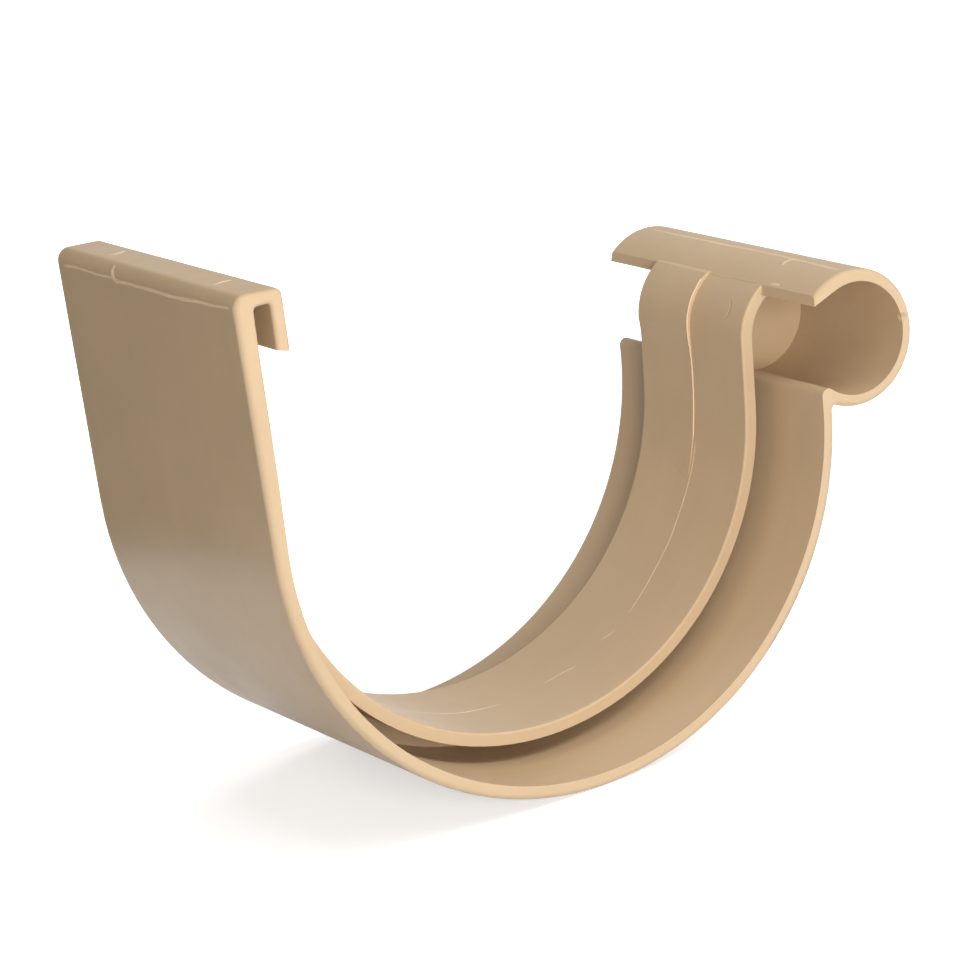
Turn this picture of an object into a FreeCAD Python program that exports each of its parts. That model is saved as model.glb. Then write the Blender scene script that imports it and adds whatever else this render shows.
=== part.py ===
import FreeCAD, Part
import math
import os

# Gutter union: one moulded piece that joins two lengths of half-round gutter.
# Millimetres. X runs across the gutter, from the fascia side (-X) to the bead side (+X).
# Y runs along the gutter and Z is up.
# The origin lies on the axis of the half-round gutter, half way along the union.

# The gutter that the union takes
gutter_diameter = 125.0     # outside of the half-round
gutter_bead = 22.7          # outside of the tubular bead on its front edge
slip = 0.4                  # clearance on each side of the gutter

# Lengths along the gutter
length = 73.8               # outer band, bead and hook
inner_width = 37.2          # inner band
web_thick = 3.2             # stop web half way along

# Section
band_thick = 2.7            # outer band at its sides
belly_drop = 0.2            # how much thicker the outer band is at its bottom
gutter_gap = 3.9            # room for the gutter wall between the bands
inner_thick = 2.9           # inner band, nominal
inner_shift = 0.3           # channel face of the inner band off centre, thinner in front than behind
wall_lean = 0.16            # degrees, how far the outside of the back wall leans in towards the hook
wall_inside_lean = 1.8      # degrees, how far the inside of the back wall leans to the front
leg_inside_lean = 1.4       # degrees, how far the slot side of the hook's leg leans to the front
leg_outside_lean = 1.1      # degrees, how far the channel side of the leg leans to the front
rise_lean = 5.0             # degrees, how far the inner band leans out below the bead

# Hook on the fascia side
hook_top = 52.8             # top of the hook over the wall
hook_slope = 4.0            # degrees that the top falls towards the leg
hook_thick = 3.1            # material over the hook's slot
leg_length = 12.2           # from the top of the hook to the leg's free edge, on the slot side
leg_slant = 16.0            # degrees that the free edge falls towards the channel
hook_round = 2.6            # outside corner of the hook over the wall
leg_round = 1.4             # outside corner of the hook over the leg
slot_round = 0.8            # corners of the slot

# Bead on the front
bead_rise = 8.0             # axis of the bead over the origin
bead_inset = 1.45           # how far the bead's bore reaches in past the channel face
bead_thick = 2.5            # bead wall
lip_angle = 128.7           # degrees round the bead axis where the outside ends at the lip
lip_slant = 7.5             # degrees that the lip's inside edge reaches further
lip_thick = 1.1             # bead wall at the lip
neck_radius = 13.0          # bend of the inner band up to the lip
neck_overlap = 8.0          # degrees that the bend runs on into the bead wall

# The face of the inner band stands a little higher on the far side of the middle
step_height = 0.8           # at the bend below the lip
step_waist = 0.35           # share of that height half way down to the foot
step_foot = -32.0           # degrees round the channel where the step has run out
step_head = 3.0             # degrees of the bend that the step stops short of the lip
step_tail = 6.0             # degrees that the step runs on round the bead
step_root = 0.6             # depth of its root in the band
step_fall = 0.4             # how far the raised face falls by the far edge

# Edges
near_round = 1.3            # outside edges of the near end
far_round = 0.4             # outside edges of the far end
band_round = 0.5            # channel side edge of the inner band, near side
mouth_round = 0.9           # edge of the hook's slot at the near end
mouth_runout = 26.0         # height over which that rounding runs out down the wall
junction_round = 0.8        # inside corner between the outer band and the bead
ridge_round = 1.5           # ridge where the channel face turns over into the bead's bore

channel_radius = gutter_diameter / 2 + slip
belly_radius = channel_radius + band_thick
gap_face_radius = channel_radius - gutter_gap
inner_radius = gap_face_radius - inner_thick
bore_radius = gutter_bead / 2 + slip
bead_radius = bore_radius + bead_thick

belly = (0.0, -belly_drop)
channel = (0.0, 0.0)
inner = (inner_shift, -inner_shift)
bead = (channel_radius + bore_radius - bead_inset, bead_rise)
wall_angle = -180.0 - wall_lean
front_angle = -rise_lean


def at(point):
    """A point of the section, half way along the union."""
    return FreeCAD.Vector(point[0], 0, point[1])


def along(distance):
    return FreeCAD.Vector(0, distance, 0)


def polar(centre, radius, degrees):
    angle = math.radians(degrees)
    return (centre[0] + radius * math.cos(angle), centre[1] + radius * math.sin(angle))


def angle_of(centre, point):
    return math.degrees(math.atan2(point[1] - centre[1], point[0] - centre[0]))


def line(start, end):
    return Part.LineSegment(at(start), at(end)).toShape()


def arc(centre, radius, start, end):
    points = [polar(centre, radius, angle) for angle in (start, (start + end) / 2, end)]
    return Part.Arc(*[at(point) for point in points]).toShape()


def lower_crossing(first, first_radius, second, second_radius):
    """Lower of the two points where two circles cross."""
    across = (second[0] - first[0], second[1] - first[1])
    apart = math.hypot(*across)
    way = (across[0] / apart, across[1] / apart)
    near = (first_radius ** 2 - second_radius ** 2 + apart ** 2) / (2 * apart)
    side = math.sqrt(first_radius ** 2 - near ** 2)
    return (first[0] + near * way[0] + side * way[1], first[1] + near * way[1] - side * way[0])


def rounded_path(corners):
    """Straight runs through the corners, each given as (point, radius)."""
    edges = []
    here = at(corners[0][0])
    for before, corner, after in zip(corners, corners[1:], corners[2:]):
        point = at(corner[0])
        radius = corner[1]
        into = at(before[0]) - point
        out = at(after[0]) - point
        half = into.getAngle(out) / 2
        into.normalize()
        out.normalize()
        inward = into + out
        inward.normalize()
        start = point + into * (radius / math.tan(half))
        middle = point + inward * (radius / math.sin(half) - radius)
        end = point + out * (radius / math.tan(half))
        edges.append(Part.LineSegment(here, start).toShape())
        edges.append(Part.Arc(start, middle, end).toShape())
        here = end
    edges.append(Part.LineSegment(here, at(corners[-1][0])).toShape())
    return edges


def foot_angle(face):
    """Angle where the curve of a face ends and its leaning back begins."""
    return -180.0 - face[2]


def foot_point(face):
    return polar(face[0], face[1], foot_angle(face))


def back_point(face, height):
    """Point at that height on the leaning back of a face."""
    foot = foot_point(face)
    return (foot[0] + (height - foot[1]) * math.tan(math.radians(face[2])), height)


def slab(outline, start, push):
    """The closed outline, set at the start along Y and pushed along the vector."""
    face = Part.Face(Part.Wire(Part.__sortEdges__(outline)))
    face.translate(along(start))
    return face.extrude(push)


# Faces that run from the curve up the back: centre and radius of the curve, and lean of the back
wall_inside = (channel, channel_radius, wall_inside_lean)
leg_slot_side = (channel, gap_face_radius, leg_inside_lean)
leg_channel_side = (inner, inner_radius, leg_outside_lean)

# Outside of the outer band and of the bead
junction = lower_crossing(belly, belly_radius + junction_round, bead, bead_radius + junction_round)
belly_arc = arc(belly, belly_radius, wall_angle, angle_of(belly, junction))
junction_arc = arc(junction, junction_round, angle_of(junction, belly), angle_of(junction, bead))
bead_arc = arc(bead, bead_radius, angle_of(bead, junction), lip_angle)

# Lip of the bead, where its wall thins to a slanted edge
lip_radius = bead_radius - lip_thick
lip_outer = polar(bead, bead_radius, lip_angle)
lip_inner = polar(bead, lip_radius, lip_angle + lip_slant)
flare_angle = lip_angle + lip_slant - math.degrees(math.acos(bore_radius / lip_radius))
flare_end = polar(bead, bore_radius, flare_angle)

# Bore of the bead, the ridge beside it and the channel face of the outer band
ridge = lower_crossing(channel, channel_radius + ridge_round, bead, bore_radius + ridge_round)
bore_arc = arc(bead, bore_radius, flare_angle, angle_of(bead, ridge))
ridge_arc = arc(ridge, ridge_round, angle_of(ridge, bead), angle_of(ridge, channel))
channel_arc = arc(channel, channel_radius, angle_of(channel, ridge), foot_angle(wall_inside))

# Hook, with a slot under it as wide as the gap between the bands
slot_top = hook_top - hook_thick
leg_bottom = hook_top - leg_length
wall_foot = polar(belly, belly_radius, wall_angle)
wall_top = wall_foot[0] + (hook_top - wall_foot[1]) * math.tan(math.radians(wall_lean))
leg_inset = back_point(leg_channel_side, slot_top)[0] - wall_top
leg_top = hook_top - leg_inset * math.tan(math.radians(hook_slope))
leg_inside = back_point(leg_slot_side, leg_bottom)
leg_width = back_point(leg_channel_side, leg_bottom)[0] - leg_inside[0]
leg_fall = leg_width * math.tan(math.radians(leg_slant))
leg_outside = back_point(leg_channel_side, leg_bottom - leg_fall)
slot_path = rounded_path([
    (foot_point(wall_inside), 0),
    (back_point(wall_inside, slot_top), slot_round),
    (back_point(leg_slot_side, slot_top), slot_round),
    (leg_inside, 0),
])


def hook_outside(start):
    """From a point on the leg's free face, over the hook and down to the foot of the wall."""
    return rounded_path([
        (start, 0),
        (back_point(leg_channel_side, leg_top), leg_round),
        ((wall_top, hook_top), hook_round),
        (wall_foot, 0),
    ])


# Outer band, hook and bead, the full length
outside = hook_outside(leg_outside) + [belly_arc, junction_arc, bead_arc]
shell_outline = outside + slot_path + [bore_arc, ridge_arc, channel_arc]
shell_outline.append(line(leg_inside, leg_outside))
shell_outline.append(line(lip_outer, lip_inner))
shell_outline.append(line(lip_inner, flare_end))
shell = slab(shell_outline, -length / 2, along(length))

# Bend of the inner band: tangent to its leaning rise and through the lip's outside corner
lean = math.radians(rise_lean)
rise_foot = polar(inner, inner_radius, front_angle)
bend_foot = (rise_foot[0] + neck_radius * math.cos(lean), rise_foot[1] - neck_radius * math.sin(lean))
lip_across = (bend_foot[0] - lip_outer[0], bend_foot[1] - lip_outer[1])
lip_along = lip_across[0] * math.sin(lean) + lip_across[1] * math.cos(lean)
lip_apart = math.hypot(*lip_across)
rise_length = -lip_along - math.sqrt(lip_along ** 2 - lip_apart ** 2 + neck_radius ** 2)
neck = (bend_foot[0] + rise_length * math.sin(lean), bend_foot[1] + rise_length * math.cos(lean))
neck_start = 180.0 - rise_lean
neck_end = angle_of(neck, lip_outer)


def front_face(centre, radius, bend, foot, end):
    """Front of one face of the inner band, from the foot angle up its rise and round its bend."""
    curve = arc(centre, radius, foot, front_angle)
    rise = line(polar(centre, radius, front_angle), polar(neck, bend, neck_start))
    return [curve, rise, arc(neck, bend, neck_start, end)]


# Inner band, cut back where its end would stand in the bead's bore
band_end = neck_end - neck_overlap
band_top = (leg_bottom + slot_top) / 2
gap_bend = neck_radius - inner_thick + inner_shift * (math.cos(lean) + math.sin(lean))
channel_back = back_point(leg_channel_side, band_top)
gap_back = back_point(leg_slot_side, band_top)
band_outline = front_face(inner, inner_radius, neck_radius, foot_angle(leg_channel_side), band_end)
band_outline += front_face(channel, gap_face_radius, gap_bend, foot_angle(leg_slot_side), band_end)
band_outline.append(line(polar(neck, neck_radius, band_end), polar(neck, gap_bend, band_end)))
band_outline.append(line(foot_point(leg_channel_side), channel_back))
band_outline.append(line(channel_back, gap_back))
band_outline.append(line(gap_back, foot_point(leg_slot_side)))
bore_start = at(bead) - along(inner_width / 2)
bore_space = Part.makeCylinder(bore_radius, inner_width, bore_start, along(1))
inner_band = slab(band_outline, -inner_width / 2, along(inner_width)).cut(bore_space)

# Stop web: the whole profile filled
channel_side = front_face(inner, inner_radius, neck_radius, foot_angle(leg_channel_side), neck_end)
web_outline = hook_outside(foot_point(leg_channel_side)) + [belly_arc, junction_arc, bead_arc]
web = slab(web_outline + channel_side, -web_thick / 2, along(web_thick))

# Raised face on the far side of the middle, which falls towards the far edge
step_bend = neck_radius + step_height
root_bend = neck_radius - step_root
step_start = polar(inner, inner_radius + step_root, step_foot)
step_low = polar(inner, inner_radius - step_waist * step_height, step_foot / 2)
step_high = polar(neck, step_bend, neck_start)
step_end = polar(bead, bead_radius - step_root, lip_angle - step_tail)
step_outline = front_face(inner, inner_radius + step_root, root_bend, step_foot, neck_end)
step_outline.append(line(polar(neck, root_bend, neck_end), step_end))
step_outline.append(line(step_end, polar(neck, step_bend, neck_end + step_head)))
step_outline.append(arc(neck, step_bend, neck_end + step_head, neck_start))
step_outline.append(Part.Arc(at(step_high), at(step_low), at(step_start)).toShape())
step = slab(step_outline, 0.0, FreeCAD.Vector(step_fall, inner_width / 2, 0))

union = shell.multiFuse([inner_band, web, step]).removeSplitter()


def edges_on(outline, place):
    """Edges of the union on the outline, at that place along it."""
    path = Part.Compound(outline)
    found = []
    for edge in union.Edges:
        middle = edge.valueAt((edge.FirstParameter + edge.LastParameter) / 2)
        flat = edge.BoundBox.YLength < 1e-6 and abs(middle.y - place) < 1e-6
        if flat and path.distToShape(Part.Vertex(middle.x, 0, middle.z))[0] < 1e-4:
            found.append(edge)
    return found


# Rounded outside edges at both ends, and the near edge of the inner band
union = union.makeFillet(near_round, edges_on(outside, -length / 2))
union = union.makeFillet(far_round, edges_on(outside, length / 2))
union = union.makeFillet(band_round, edges_on(channel_side, -inner_width / 2))

# Rounded mouth of the hook's slot at the near end. The cutter stands clear of the faces beside it,
# and down the wall it moves away from the edge until it takes nothing off.
into_end = along(1)
inside_lean = math.radians(wall_inside_lean)
into_wall = FreeCAD.Vector(-math.cos(inside_lean), 0, math.sin(inside_lean))
cutter_clear = mouth_round / 3


def mouth_cutter(point, shift):
    """Outline of the cutter across the wall's edge, moved away from the edge by the shift."""
    corner = at(point) - along(length / 2) - (into_end + into_wall) * shift
    on_face = corner + into_end * mouth_round
    on_end = corner + into_wall * mouth_round
    middle = corner + (into_end + into_wall) * (mouth_round - mouth_round / math.sqrt(2))
    past_end = into_end * -cutter_clear
    past_face = into_wall * -cutter_clear
    points = [on_end, on_end + past_end, corner + past_end + past_face, on_face + past_face, on_face]
    edges = [Part.LineSegment(start, end).toShape() for start, end in zip(points, points[1:])]
    edges.append(Part.Arc(on_face, middle, on_end).toShape())
    return Part.Wire(edges)


mouth_foot = back_point(wall_inside, leg_bottom)
runout_foot = back_point(wall_inside, leg_bottom - mouth_runout)
mouth_path = Part.Wire(rounded_path([
    (mouth_foot, 0),
    (back_point(wall_inside, slot_top), slot_round),
    (back_point(leg_slot_side, slot_top), slot_round),
    (back_point(leg_slot_side, leg_bottom - mouth_round), 0),
]))
mouth_path.translate(along(-length / 2))
mouth = mouth_path.makePipeShell([mouth_cutter(mouth_foot, 0.0)], True, False)
runout = Part.makeLoft([mouth_cutter(mouth_foot, 0.0), mouth_cutter(runout_foot, cutter_clear)], True, True)
union = union.cut(mouth.fuse(runout))

os.makedirs("parts", exist_ok=True)
union.exportStep("parts/gutter_union.step")
print("gutter_union: solids", len(union.Solids), "valid", union.isValid(), "volume", round(union.Volume))
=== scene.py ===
# %% [markdown]
# A gutter union in sand-coloured PVC
#
# This lesson dresses a finished solid. The union joins two lengths of half-round gutter: a band with
# a flat back wall and a hook, a tubular bead on the front, and a narrower band inside. The solid has
# all the main shapes, so it is loaded as it is and stays where it is. What is left for this script is
# the look: the camera, the light, the finish of the plastic, and the small marks that moulding leaves.

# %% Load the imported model
import math
import bpy
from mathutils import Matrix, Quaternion, Vector


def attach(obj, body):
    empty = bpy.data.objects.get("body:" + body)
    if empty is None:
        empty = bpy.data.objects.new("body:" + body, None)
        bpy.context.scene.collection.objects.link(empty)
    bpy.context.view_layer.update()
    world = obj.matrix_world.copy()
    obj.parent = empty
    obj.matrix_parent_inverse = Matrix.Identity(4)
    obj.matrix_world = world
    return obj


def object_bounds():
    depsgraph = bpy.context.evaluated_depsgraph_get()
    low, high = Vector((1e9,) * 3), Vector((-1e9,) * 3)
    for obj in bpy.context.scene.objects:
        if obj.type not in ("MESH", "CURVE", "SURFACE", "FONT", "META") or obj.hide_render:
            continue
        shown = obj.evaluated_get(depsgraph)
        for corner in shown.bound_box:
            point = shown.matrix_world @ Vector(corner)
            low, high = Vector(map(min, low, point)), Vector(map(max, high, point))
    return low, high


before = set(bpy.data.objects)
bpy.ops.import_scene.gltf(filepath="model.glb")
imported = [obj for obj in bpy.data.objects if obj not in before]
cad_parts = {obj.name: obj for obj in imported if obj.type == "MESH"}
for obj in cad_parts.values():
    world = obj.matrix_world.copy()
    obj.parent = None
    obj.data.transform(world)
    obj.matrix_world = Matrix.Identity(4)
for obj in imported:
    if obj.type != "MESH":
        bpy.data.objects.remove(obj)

MM = 0.001
cad_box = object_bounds()
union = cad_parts["gutter_union"]
scene = bpy.context.scene
scene.view_settings.view_transform = "Standard"
print("union: lowest corner", cad_box[0], "highest corner", cad_box[1])

# %% [markdown]
# The camera
#
# The picture was taken from a little above, about 30 degrees to the fascia side, with a long lens. The
# union lay on its round belly and had rocked over by nearly 9 degrees. It could be turned to lie like
# that, but the solid keeps the frame that it is installed in, so the camera is rolled instead.

# %% Camera
CAMERA_PLACE = Vector((-402.26, -703.42, 233.16)) * MM
CAMERA_AIM = Vector((0.23, -2.79, -7.74)) * MM
CAMERA_ROLL = math.radians(-8.72)
LENS = 155.69
SENSOR_WIDTH = 36.0


def facing(way):
    """The turn that points a camera or a lamp along a direction."""
    return way.to_track_quat("-Z", "Y")


camera_data = bpy.data.cameras.new("camera")
camera_data.sensor_fit = "HORIZONTAL"
camera_data.sensor_width = SENSOR_WIDTH
camera_data.lens = LENS
camera = bpy.data.objects.new("camera", camera_data)
camera.location = CAMERA_PLACE
camera.rotation_mode = "QUATERNION"
camera.rotation_quaternion = facing(CAMERA_AIM - CAMERA_PLACE) @ Quaternion((0, 0, 1), CAMERA_ROLL)
scene.collection.objects.link(camera)
scene.camera = camera
print("camera: lens", LENS, "mm at", tuple(round(x, 3) for x in CAMERA_PLACE))

# %% [markdown]
# A short hand for node trees
#
# The floor, the sky, the plastic and the moulding seams are all node trees. Each node needs a few
# settings and each input a number or a link, so one small helper does both and keeps the cells short.
# Sums and ramps come up again and again, so they have helpers of their own.

# %% A short hand for node trees
def add(tree, kind, inputs=None, **settings):
    """A new node with its settings. A socket given for an input is linked to it, a value is set on it."""
    node = tree.nodes.new(kind)
    for name, value in settings.items():
        setattr(node, name, value)
    for key, value in (inputs or {}).items():
        if isinstance(value, bpy.types.NodeSocket):
            tree.links.new(value, node.inputs[key])
        else:
            node.inputs[key].default_value = value
    return node


def blank_tree(owner):
    """The node tree of a material or world, emptied."""
    owner.use_nodes = True
    owner.node_tree.nodes.clear()
    return owner.node_tree


def reckon(tree, operation, *values):
    """Result of a sum on one or two values."""
    return add(tree, "ShaderNodeMath", dict(enumerate(values)), operation=operation).outputs[0]


def ramp(tree, value, start, end, first, last, shape="LINEAR"):
    """The first number where the value is at the start, the last where it is at the end."""
    inputs = {"Value": value, "From Min": start, "From Max": end, "To Min": first, "To Max": last}
    return add(tree, "ShaderNodeMapRange", inputs, interpolation_type=shape).outputs[0]


# %% [markdown]
# What a ray sees
#
# The union lies on a white sheet, and everything behind it is white. A studio that is lit until it is
# white would throw too much light on the union, so only what the camera sees is lifted to white. A
# reflection sees a share of it, because the satin plastic in the picture mirrors a room that is only
# about half as bright.

# %% What a ray sees
def seen_ray(tree, in_reflection):
    """1 for a ray from the camera or through a clear body, the given share for a reflection, else 0."""
    path = add(tree, "ShaderNodeLightPath").outputs
    mirrored = reckon(tree, "MULTIPLY", path["Is Glossy Ray"], in_reflection)
    either = reckon(tree, "MAXIMUM", path["Is Camera Ray"], mirrored)
    return reckon(tree, "MAXIMUM", either, path["Is Transmission Ray"])


# %% [markdown]
# Floor
#
# The floor is a plain pale sheet. Near the union its lift stays below white, so that it keeps a soft
# shadow. Further out the lift reaches white, because the lamps don't light the sheet there.

# %% Floor
FLOOR_HALF = 1.5
SHEET_COLOUR = (0.80, 0.80, 0.80, 1)
LIFT_STARTS, LIFT_ENDS = 0.16, 0.36     # metres from the middle of the union
LIFT_NEAR, LIFT_FAR = 0.55, 1.0
FLOOR_MIRRORED = 0.3


def white_sheet():
    """A pale matt sheet that is lifted to white where it is looked at."""
    material = bpy.data.materials.new("white_sheet")
    tree = blank_tree(material)
    spot = add(tree, "ShaderNodeTexCoord").outputs["Object"]
    away = add(tree, "ShaderNodeVectorMath", {0: spot}, operation="LENGTH").outputs["Value"]
    lift = ramp(tree, away, LIFT_STARTS, LIFT_ENDS, LIFT_NEAR, LIFT_FAR, "SMOOTHSTEP")
    seen_lift = reckon(tree, "MULTIPLY", lift, seen_ray(tree, FLOOR_MIRRORED))
    sheet = add(tree, "ShaderNodeBsdfDiffuse", {"Color": SHEET_COLOUR})
    glow = add(tree, "ShaderNodeEmission", {"Strength": seen_lift})
    both = add(tree, "ShaderNodeAddShader", {0: sheet.outputs[0], 1: glow.outputs[0]})
    add(tree, "ShaderNodeOutputMaterial", {"Surface": both.outputs[0]})
    return material


def flat_sheet(name, corners, material):
    """A flat sheet of the studio with the given corners."""
    mesh = bpy.data.meshes.new(name)
    mesh.from_pydata(corners, [], [(0, 1, 2, 3)])
    mesh.materials.append(material)
    sheet = bpy.data.objects.new(name, mesh)
    scene.collection.objects.link(sheet)
    return sheet


floor_level = cad_box[0].z
floor = flat_sheet("floor", [
    (-FLOOR_HALF, -FLOOR_HALF, floor_level), (FLOOR_HALF, -FLOOR_HALF, floor_level),
    (FLOOR_HALF, FLOOR_HALF, floor_level), (-FLOOR_HALF, FLOOR_HALF, floor_level),
], white_sheet())
print("floor at", round(floor_level / MM, 1), "mm")

# %% [markdown]
# Background
#
# The world has two parts: the white backdrop that is seen, and a weak even fill that lights the union from
# all round. A curved paper behind the union would do too, but it would stand in the way of other views.

# %% Background
WHITE = (1, 1, 1, 1)
FILL_LEVEL = 0.13
BACKDROP_LEVEL = 1.0
BACKDROP_MIRRORED = 0.45

world = bpy.data.worlds.new("studio")
scene.world = world
sky = blank_tree(world)
fill = add(sky, "ShaderNodeBackground", {"Color": WHITE, "Strength": FILL_LEVEL})
backdrop = add(sky, "ShaderNodeBackground", {"Color": WHITE, "Strength": BACKDROP_LEVEL})
choose = add(sky, "ShaderNodeMixShader", {
    0: seen_ray(sky, BACKDROP_MIRRORED), 1: fill.outputs[0], 2: backdrop.outputs[0],
})
add(sky, "ShaderNodeOutputWorld", {"Surface": choose.outputs[0]})
print("fill light", FILL_LEVEL, "and backdrop", BACKDROP_LEVEL)

# %% [markdown]
# Light
#
# The end faces are the palest part of the picture, the top of the hook comes next, and the back wall is
# the darkest. So the main soft box stands low in front, near the camera, others light from above, and the
# fascia side gets little more than the fill. Two weak ones behind serve the other sides. All are a good
# metre away and wide, for soft shadows. None is seen in reflections, as if polarising filters took the
# glare off: a lamp that is mirrored in the tops would burn them out to white from some sides.

# %% Light
LAMP_DISTANCE = 1.1


def studio_way(round_from_front, up):
    """Direction from the union, in degrees round from the front and up from the floor."""
    turn, rise = math.radians(round_from_front), math.radians(up)
    return Vector((math.sin(turn) * math.cos(rise), -math.cos(turn) * math.cos(rise), math.sin(rise)))


soft_boxes = [
    # name, degrees round from the front, degrees up, width in metres, watts
    ("front_left", -18, 11, 0.4, 9.8),
    ("top_front", 0, 55, 0.6, 3.8),
    ("right_high", 60, 40, 0.5, 5.5),
    ("right_back", 120, 15, 0.6, 2.0),
    ("back_low", 190, 12, 0.6, 1.8),
    ("back_high", 180, 70, 0.6, 2.6),
]
for name, turn, up, width, watts in soft_boxes:
    lamp_data = bpy.data.lights.new(name, "AREA")
    lamp_data.size = width
    lamp_data.energy = watts
    lamp = bpy.data.objects.new(name, lamp_data)
    way = studio_way(turn, up)
    lamp.location = way * LAMP_DISTANCE
    lamp.rotation_mode = "QUATERNION"
    lamp.rotation_quaternion = facing(-way)
    lamp.visible_glossy = False
    scene.collection.objects.link(lamp)
print("soft boxes:", ", ".join(box[0] for box in soft_boxes))

# %% [markdown]
# The black card
#
# A satin plastic shows what stands around it. In the picture the upright wall reflects something dark and
# the belly under it the white table, with a clear change between them, and the top of the hook is pale
# again. A photographer gets that with a black card behind the part. This one stands on the floor behind
# the union and ends behind the channel, and only reflections see it.

# %% The black card
CARD_BEHIND = 0.155
CARD_LEFT = -0.7
CARD_RIGHT = -0.02
CARD_TALL = 0.45
CARD_COLOUR = (0.02, 0.02, 0.02, 1)

card_paper = bpy.data.materials.new("black_paper")
card_tree = blank_tree(card_paper)
paper = add(card_tree, "ShaderNodeBsdfDiffuse", {"Color": CARD_COLOUR})
add(card_tree, "ShaderNodeOutputMaterial", {"Surface": paper.outputs[0]})
card_top = floor_level + CARD_TALL
card = flat_sheet("black_card", [
    (CARD_LEFT, CARD_BEHIND, floor_level), (CARD_RIGHT, CARD_BEHIND, floor_level),
    (CARD_RIGHT, CARD_BEHIND, card_top), (CARD_LEFT, CARD_BEHIND, card_top),
], card_paper)
card.visible_camera = False
card.visible_diffuse = False
card.visible_shadow = False
print("black card", round(CARD_BEHIND / MM), "mm behind the middle,", round(CARD_TALL / MM), "mm tall")

# %% [markdown]
# Pigment
#
# The plastic is coloured through, so its finish is one colour with very little in it: a faint cloud of
# darker and paler pigment, thin streaks that follow the flow of the melt round the section, and specks.
# A picture could be wrapped round the union, but noise in the object's own coordinates needs no unwrapping
# and has no seams. Each noise is spread about zero, so that they can simply be added up.

# %% Pigment
CLOUDS, CLOUD_DEPTH = 30, 0.30
FLOW, STREAK_DEPTH = (26, 330, 26), 0.13
SPECKS, SPECK_DEPTH = 1300, 0.06
NOISE_MIDDLE, NOISE_REACH = 0.5, 0.25


def noise(tree, spot, scale, detail):
    """Noise about its middle. The scale is the number of lumps in a metre."""
    inputs = {"Vector": spot, "Scale": scale, "Detail": detail, "Roughness": 0.55}
    return add(tree, "ShaderNodeTexNoise", inputs).outputs["Fac"]


def centred(tree, value, depth):
    """Noise spread about zero, to the depth on both sides."""
    return ramp(tree, value, NOISE_MIDDLE - NOISE_REACH, NOISE_MIDDLE + NOISE_REACH, -depth, depth)


def pigment_shade(tree, spot):
    """Place between the dark and the pale shade of the plastic, about half way."""
    along_flow = add(tree, "ShaderNodeMapping", {"Vector": spot, "Scale": FLOW}).outputs[0]
    shade = centred(tree, noise(tree, spot, CLOUDS, 3), CLOUD_DEPTH)
    for part in (
        centred(tree, noise(tree, along_flow, 1.0, 2), STREAK_DEPTH),
        centred(tree, noise(tree, spot, SPECKS, 1), SPECK_DEPTH),
        0.5,
    ):
        shade = reckon(tree, "ADD", shade, part)
    return shade


# %% [markdown]
# Relief of the finish
#
# The wall is slightly wavy where it shrank as it cooled, and the mould's steel leaves a fine grain. An
# ejector pin has left one side of a ring on the inner band, and the end of the bead has a small nick. They
# are too shallow to change the shape, so each one is a bump on top of the one before.

# %% Relief of the finish
WAVES, WAVE_HEIGHT = 36, 0.22 * MM
GRAINS, GRAIN_HEIGHT = 2300, 0.008 * MM
PIN_SPOT = Vector((59.2, -10.7, 14.3)) * MM
PIN_RADIUS = 2.3 * MM
PIN_RIM = 0.5 * MM
PIN_FADE = 2.2 * MM
PIN_DEPTH = 0.12 * MM
NICK_SPOT = Vector((85.2, -36.9, 9.2)) * MM
NICK_RADIUS = 1.3 * MM
NICK_DEPTH = 0.6 * MM


def far_from(tree, spot, place):
    """Distance from a place on the union."""
    return add(tree, "ShaderNodeVectorMath", {0: spot, 1: place}, operation="DISTANCE").outputs["Value"]


def pin_ring(tree, spot):
    """1 on the near side of the pin's rim, 0 away from it."""
    off_rim = reckon(tree, "SUBTRACT", far_from(tree, spot, PIN_SPOT), PIN_RADIUS)
    rim = ramp(tree, reckon(tree, "ABSOLUTE", off_rim), 0.0, PIN_RIM, 1.0, 0.0, "SMOOTHSTEP")
    along = add(tree, "ShaderNodeSeparateXYZ", {0: spot}).outputs["Y"]
    near_side = ramp(tree, along, PIN_SPOT.y, PIN_SPOT.y - PIN_FADE, 0.0, 1.0, "SMOOTHSTEP")
    return reckon(tree, "MULTIPLY", rim, near_side)


def relief(tree, spot):
    """The surface's direction with waves, grain, the pin's ring and the nick."""
    nick = ramp(tree, far_from(tree, spot, NICK_SPOT), 0.0, NICK_RADIUS, 1.0, 0.0, "SMOOTHSTEP")
    bumped = {}
    for height, distance, hollow in (
        (noise(tree, spot, WAVES, 1), WAVE_HEIGHT, False),
        (noise(tree, spot, GRAINS, 2), GRAIN_HEIGHT, False),
        (pin_ring(tree, spot), PIN_DEPTH, True),
        (nick, NICK_DEPTH, True),
    ):
        inputs = {"Height": height, "Distance": distance, **bumped}
        bumped = {"Normal": add(tree, "ShaderNodeBump", inputs, invert=hollow).outputs[0]}
    return bumped["Normal"]


# %% [markdown]
# Satin PVC
#
# Two finishes are made with these patterns. One is the moulded surface, smooth enough for a soft sheen. The
# other is a paler and rougher shade of the same plastic for the seams and marks. Its paler colour is painted
# highlight, so that these low ridges look brighter than their shape and the lamps make them.

# %% Satin PVC
GLOSS_PATCHES = 85
SPECULAR = 0.45


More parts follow.
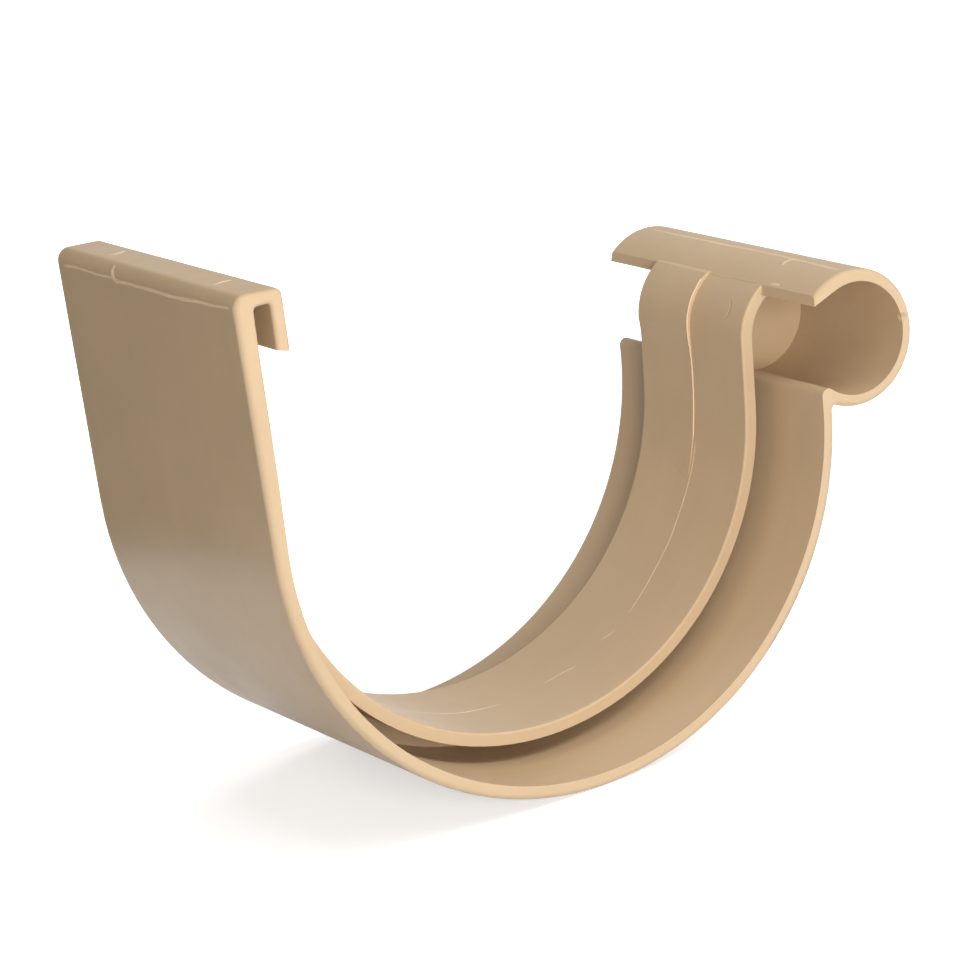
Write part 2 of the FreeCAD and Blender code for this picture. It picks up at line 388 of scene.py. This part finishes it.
def sand_pvc(name, dark, pale, smoothest, roughest):
    """Sand-coloured PVC between two shades, with a finish between two roughnesses."""
    material = bpy.data.materials.new(name)
    tree = blank_tree(material)
    spot = add(tree, "ShaderNodeTexCoord").outputs["Object"]
    pigment = add(tree, "ShaderNodeMix", {
        "Factor": pigment_shade(tree, spot), "A": (*dark, 1), "B": (*pale, 1),
    }, data_type="RGBA")
    rough = ramp(tree, noise(tree, spot, GLOSS_PATCHES, 3), 0.3, 0.7, smoothest, roughest)
    shader = add(tree, "ShaderNodeBsdfPrincipled", {
        "Base Color": pigment.outputs["Result"], "Roughness": rough, "Specular IOR Level": SPECULAR,
        "Normal": relief(tree, spot),
    })
    add(tree, "ShaderNodeOutputMaterial", {"Surface": shader.outputs[0]})
    return material


pvc = sand_pvc("sand_pvc", (0.494, 0.356, 0.216), (0.554, 0.398, 0.242), 0.28, 0.38)
# The seam finish is paler only as a painted highlight on the ridges, which are real.
seam_highlight_pvc = sand_pvc("seam_highlight_pvc", (0.62, 0.455, 0.28), (0.72, 0.545, 0.36), 0.5, 0.6)
union.material_slots[0].material = pvc
print("finishes:", pvc.name, "and", seam_highlight_pvc.name, "with", len(pvc.node_tree.nodes), "nodes each")

# %% [markdown]
# A path on the surface
#
# Where the halves of the mould meet, a little plastic gets in between and leaves a low ridge, and the
# gates and pins leave crescents. A row of small boxes or a hand-drawn strip would look too regular, so
# Geometry Nodes lay them. First a path with a few points is smoothed, cut into short runs, made to wander
# a little and pressed on to the surface of the union.

# %% A path on the surface
RUN_LENGTH = 0.35 * MM
WANDER_LUMPS = 330.0


def seeded_noise(tree, seed, scale, detail):
    """Noise along the path that is different for each seed."""
    spot = add(tree, "GeometryNodeInputPosition").outputs[0]
    inputs = {"Vector": spot, "W": seed, "Scale": scale, "Detail": detail}
    return add(tree, "ShaderNodeTexNoise", inputs, noise_dimensions="4D").outputs


def pressed_path(tree, given, body):
    """The given paths as smooth curves on the surface."""
    line = add(tree, "GeometryNodeMeshToCurve", {"Mesh": given["Paths"]})
    bent = add(tree, "GeometryNodeCurveSplineType", {"Curve": line.outputs[0]}, spline_type="CATMULL_ROM")
    runs = add(tree, "GeometryNodeResampleCurve", {"Curve": bent.outputs[0], "Length": RUN_LENGTH}, mode="LENGTH")
    drift = seeded_noise(tree, given["Seed"], WANDER_LUMPS, 2.0)["Color"]
    about = add(tree, "ShaderNodeVectorMath", {0: drift, 1: (0.5, 0.5, 0.5)}, operation="SUBTRACT")
    aside = add(tree, "ShaderNodeVectorMath", {0: about.outputs[0], "Scale": given["Wander"]}, operation="SCALE")
    loose = add(tree, "GeometryNodeSetPosition", {"Geometry": runs.outputs[0], "Offset": aside.outputs[0]})
    touch = add(tree, "GeometryNodeProximity", {0: body}, target_element="FACES").outputs["Position"]
    return add(tree, "GeometryNodeSetPosition", {"Geometry": loose.outputs[0], "Position": touch}).outputs[0]


# %% [markdown]
# A low crown
#
# A ridge with a round back is the cap of a circle. Its width and height give the circle's radius, and the
# path is sunk by that radius less the height, so that only the cap stands out of the surface. Each point
# of a path carries a share of the height, and a slow noise takes off some more, so that a ridge can swell,
# thin out and end.

# %% A low crown
CROWN_LUMPS = 420.0


def crown_radius(tree, width, height):
    """Radius of the circle whose cap has the given width and height."""
    half = reckon(tree, "MULTIPLY", width, 0.5)
    squares = reckon(tree, "ADD", reckon(tree, "POWER", half, 2.0), reckon(tree, "POWER", height, 2.0))
    return reckon(tree, "DIVIDE", squares, reckon(tree, "MULTIPLY", height, 2.0))


def sunk_path(tree, given, body, path, radius):
    """The path moved into the union until only the cap of its circle stands out."""
    share = add(tree, "GeometryNodeInputNamedAttribute", {"Name": "proud"}, data_type="FLOAT").outputs["Attribute"]
    lumps = seeded_noise(tree, given["Seed"], CROWN_LUMPS, 1.0)["Fac"]
    lowest = reckon(tree, "SUBTRACT", 1.0, given["Unevenness"])
    uneven = ramp(tree, lumps, 0.3, 0.7, lowest, 1.0)
    crown = reckon(tree, "MULTIPLY", reckon(tree, "MULTIPLY", given["Height"], share), uneven)
    sink = reckon(tree, "SUBTRACT", crown, radius)
    outward = add(tree, "GeometryNodeSampleNearestSurface", {
        "Mesh": body, "Value": add(tree, "GeometryNodeInputNormal").outputs["Normal"],
    }, data_type="FLOAT_VECTOR").outputs[0]
    inward = add(tree, "ShaderNodeVectorMath", {0: outward, "Scale": sink}, operation="SCALE").outputs[0]
    return add(tree, "GeometryNodeSetPosition", {"Geometry": path, "Offset": inward}).outputs[0]


# %% [markdown]
# The seam tree
#
# The whole tree takes the paths and sizes as named inputs, sweeps the circle along the sunk path, closes
# its ends and gives it the finish. One tree then serves all the ridges.

# %% The seam tree
RING_SIDES = 28
SEAM_INPUTS = {
    "Paths": "NodeSocketGeometry", "Surface": "NodeSocketObject", "Width": "NodeSocketFloat",
    "Height": "NodeSocketFloat", "Wander": "NodeSocketFloat", "Unevenness": "NodeSocketFloat",
    "Seed": "NodeSocketInt", "Material": "NodeSocketMaterial",
}


def seam_tree():
    """Geometry nodes that lay low rounded ridges along paths on a surface."""
    tree = bpy.data.node_groups.new("moulding_seam", "GeometryNodeTree")
    tree.is_modifier = True
    for name, kind in SEAM_INPUTS.items():
        tree.interface.new_socket(name, in_out="INPUT", socket_type=kind)
    tree.interface.new_socket("Seams", in_out="OUTPUT", socket_type="NodeSocketGeometry")
    given = add(tree, "NodeGroupInput").outputs
    body = add(tree, "GeometryNodeObjectInfo", {"Object": given["Surface"]}).outputs["Geometry"]
    radius = crown_radius(tree, given["Width"], given["Height"])
    laid = sunk_path(tree, given, body, pressed_path(tree, given, body), radius)
    ring = add(tree, "GeometryNodeCurvePrimitiveCircle", {"Resolution": RING_SIDES, "Radius": radius}, mode="RADIUS")
    tube = add(tree, "GeometryNodeCurveToMesh", {
        "Curve": laid, "Profile Curve": ring.outputs[0], "Fill Caps": True,
    })
    smooth = add(tree, "GeometryNodeSetShadeSmooth", {"Geometry": tube.outputs[0]})
    whole = add(tree, "GeometryNodeRealizeInstances", {"Geometry": smooth.outputs[0]})
    painted = add(tree, "GeometryNodeSetMaterial", {"Geometry": whole.outputs[0], "Material": given["Material"]})
    add(tree, "NodeGroupOutput", {"Seams": painted.outputs[0]})
    return tree


seams = seam_tree()
print("seam tree:", len(seams.nodes), "nodes")

# %% [markdown]
# From paths to pieces
#
# Each piece starts as a mesh of bare edges, one chain for each path, with the share of the height on its
# points. The tree turns it into a closed mesh, which is then kept as a plain mesh without the modifier.

# %% From paths to pieces
def lay_seams(name, paths, width, height, wander, uneven, seed, material):
    """A piece with a ridge along each path. A path is a list of x, y, z in mm and the share of the height."""
    points, edges, shares = [], [], []
    for path in paths:
        edges += [(len(points) + i, len(points) + i + 1) for i in range(len(path) - 1)]
        points += [Vector(point[:3]) * MM for point in path]
        shares += [point[3] for point in path]
    chains = bpy.data.meshes.new(name + "_paths")
    chains.from_pydata(points, edges, [])
    chains.attributes.new("proud", "FLOAT", "POINT").data.foreach_set("value", shares)
    piece = bpy.data.objects.new(name, chains)
    scene.collection.objects.link(piece)
    modifier = piece.modifiers.new("seams", "NODES")
    modifier.node_group = seams
    given = {
        "Surface": union, "Width": width * MM, "Height": height * MM,
        "Wander": wander * MM, "Unevenness": uneven, "Seed": seed, "Material": material,
    }
    for socket in seams.interface.items_tree:
        if socket.name in given:
            modifier[socket.identifier] = given[socket.name]
    finished = piece.evaluated_get(bpy.context.evaluated_depsgraph_get())
    mesh = bpy.data.meshes.new_from_object(finished)
    piece.modifiers.remove(modifier)
    piece.data = mesh
    mesh.name = name
    bpy.data.meshes.remove(chains)
    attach(piece, "root")
    print(name + ":", len(paths), "paths,", len(mesh.polygons), "faces")
    return piece


# %% [markdown]
# Parting line of the hook
#
# A ridge runs along the wall just under the hook, where the core that forms the slot met the rest of the
# mould. It is thin at the far end, broad over most of the length, and fades before the near end.

# %% Parting line of the hook
WALL_X = -65.46
hook_line = [(WALL_X, y, z, proud) for y, z, proud in (
    (34.2, 49.65, 0.0), (33.15, 49.65, 0.45), (29.03, 49.98, 0.5), (22.52, 49.82, 0.5), (16.01, 49.86, 0.5),
    (13.84, 49.95, 0.45), (10.56, 49.58, 0.9), (6.71, 49.69, 1.0), (1.29, 49.62, 0.9), (-4.94, 49.67, 1.0),
    (-11.01, 49.51, 0.9), (-17.16, 49.77, 0.9), (-22.80, 49.96, 0.7), (-27.96, 50.09, 0.45),
    (-33.08, 50.41, 0.3), (-34.4, 50.4, 0.0),
)]
lay_seams("hook_parting_line", [hook_line], 0.85, 0.13, 0.30, 0.6, 3, seam_highlight_pvc)

# %% [markdown]
# Gate marks of the hook
#
# Three crescents stand on the hook. One starts on the rounding and runs down into the parting line, one
# lies across the top near the far end, and one near the close end. They swell in the middle and run out
# at both ends, which the share of the height at each point does.

# %% Gate marks of the hook
low_crescent = [
    (-64.50, 13.05, 52.05, 0.0), (-64.77, 13.21, 51.78, 0.6), (-65.19, 13.27, 51.17, 1.0),
    (-65.42, 12.87, 50.47, 1.0), (-65.46, 12.20, 49.77, 1.0), (-65.46, 11.05, 49.41, 0.6),
]
top_crescent = [
    (-61.6, 20.9, 52.53, 0.0), (-61.0, 20.95, 52.49, 0.5), (-60.01, 20.83, 52.42, 1.0),
    (-58.31, 21.55, 52.30, 0.8), (-57.7, 21.9, 52.26, 0.0),
]
near_crescent = [
    (-62.1, -22.9, 52.56, 0.0), (-61.6, -22.9, 52.53, 0.3), (-60.19, -22.33, 52.43, 0.9),
    (-58.79, -22.12, 52.34, 0.9), (-57.5, -22.15, 52.24, 0.0),
]
lay_seams("hook_side_mark", [low_crescent], 1.30, 0.13, 0.05, 0.1, 5, seam_highlight_pvc)
lay_seams("hook_top_marks", [top_crescent, near_crescent], 1.20, 0.16, 0.05, 0.1, 9, seam_highlight_pvc)

# %% [markdown]
# Parting line of the bead
#
# The bead was formed between two halves that met along its top. The ridge there wanders, and near the
# close end a short branch leaves it.

# %% Parting line of the bead
BEAD_TOP = 22.25
bead_line = [(x, y, BEAD_TOP, proud) for x, y, proud in (
    (73.0, 34.2, 0.0), (73.2, 32.1, 0.5), (73.1, 27.4, 0.7), (73.1, 22.9, 0.8), (73.2, 17.8, 0.8),
    (73.3, 12.7, 0.9), (73.2, 7.6, 0.9), (73.4, 2.4, 1.0), (73.6, -2.6, 0.9), (73.5, -7.5, 1.0),
    (73.6, -12.7, 0.9), (73.2, -17.9, 1.0), (73.1, -23.2, 0.8), (72.9, -28.1, 0.7), (72.7, -33.0, 0.4),
    (72.7, -34.6, 0.0),
)]
bead_branch = [
    (70.1, -18.5, 21.90, 0.0), (70.4, -18.15, 21.96, 0.6), (71.1, -17.7, 22.09, 0.9),
    (72.1, -17.5, 22.21, 0.8), (73.15, -18.05, 22.25, 0.6),
]
lay_seams("bead_parting_line", [bead_line, bead_branch], 1.10, 0.14, 0.30, 0.6, 7, seam_highlight_pvc)

# %% [markdown]
# Seam of the inner band
#
# The step along the middle of the inner band is part of the solid. From its foot a thread of flash goes
# on round the channel to the other side, broken into four runs.

# %% Seam of the inner band
upper_thread = [
    (54.5, -0.8, -14.6, 0.0), (53.90, -0.75, -16.8, 0.7), (52.88, -0.7, -19.8, 0.9), (51.67, -0.55, -22.8, 1.0),
    (49.98, -0.3, -26.4, 1.0), (47.22, -0.14, -31.1, 1.0), (44.73, -0.26, -34.5, 1.0), (40.73, -0.09, -39.2, 0.9),
    (36.53, -0.39, -43.1, 0.9), (33.19, -0.67, -45.7, 0.6), (31.9, -0.7, -46.6, 0.0),
]
short_thread = [
    (28.0, -0.9, -49.1, 0.0), (27.0, -0.8, -49.6, 0.7), (25.5, 0.1, -50.4, 0.6), (24.6, 0.3, -50.8, 0.0),
]
middle_thread = [
    (17.6, -0.9, -53.7, 0.0), (16.4, -0.8, -54.0, 0.8), (14.5, 0.0, -54.6, 0.8), (11.1, 0.2, -55.4, 0.7),
    (9.6, 0.3, -55.6, 0.0),
]
lower_thread = [
    (-1.5, -0.5, -56.3, 0.0), (-3.4, -0.5, -56.3, 0.8), (-7.2, -0.43, -55.9, 1.0), (-13.1, -0.5, -54.8, 1.0),
    (-18.2, 0.3, -53.3, 0.9), (-23.9, 0.1, -50.9, 0.6), (-25.5, 0.1, -50.1, 0.0),
]
band_threads = [upper_thread, short_thread, middle_thread, lower_thread]
lay_seams("band_seam", band_threads, 0.50, 0.08, 0.18, 0.5, 11, seam_highlight_pvc)

# %% [markdown]
# Flash along the step
#
# The step is where two blocks of the mould met, and a hair of flash stands along its edge. It could be a
# bevel on the edge, but a thread that is laid on it can run out at both ends. It takes the pale seam
# finish, whose paler colour is painted highlight along the edge. It is narrow and nearly round, so that it
# turns with the edge without a kink.

# %% Flash along the step
STEP_Y = 0.0
step_edge = [(x, STEP_Y, z, proud) for x, z, proud in (
    (61.9, 18.5, 0.0), (61.0, 17.75, 0.8), (60.15, 16.9, 1.0), (58.96, 15.38, 1.0), (57.98, 13.71, 1.0),
    (57.3, 12.07, 1.0), (56.9, 10.2, 1.0), (56.72, 8.5, 1.0), (56.67, 6.47, 0.9), (56.69, 4.36, 0.9),
    (56.65, 2.66, 0.9), (56.39, -2.05, 0.9), (56.0, -5.34, 0.9), (55.7, -7.63, 0.9), (54.95, -12.24, 0.8),
    (54.47, -14.8, 0.0),
)]
lay_seams("step_flash", [step_edge], 0.34, 0.14, 0.04, 0.3, 19, seam_highlight_pvc)

# %% [markdown]
# Weld line of the lip
#
# Where the inner band bends over and meets the bead's lip, the two flows of plastic met last and left a
# low wavy ridge. It goes on from the end of the lip to the top of the step.

# %% Weld line of the lip
weld_line = [
    (64.37, 0.2, 19.18, 0.0), (64.37, -0.6, 19.18, 0.8), (64.19, -3.4, 19.07, 1.0), (64.25, -6.0, 19.10, 1.0),
    (64.45, -8.8, 19.25, 0.9), (64.37, -11.6, 19.18, 1.0), (64.39, -14.1, 19.20, 1.0), (64.54, -16.1, 19.32, 0.8),
    (64.70, -18.2, 19.45, 0.0),
]
lay_seams("lip_weld_line", [weld_line], 0.60, 0.11, 0.20, 0.5, 17, pvc)

# %% [markdown]
# Drip on the lip
#
# A small drop of plastic is left on the edge of the lip, beside the inner band, where the mould closed.

# %% Drip on the lip
lip_drip = [
    (64.72, -20.6, 19.46, 0.0), (64.80, -21.6, 19.52, 0.9), (64.88, -22.7, 19.56, 1.0), (64.95, -23.9, 19.60, 0.0),
]
lay_seams("lip_drip", [lip_drip], 0.80, 0.16, 0.05, 0.2, 13, seam_highlight_pvc)
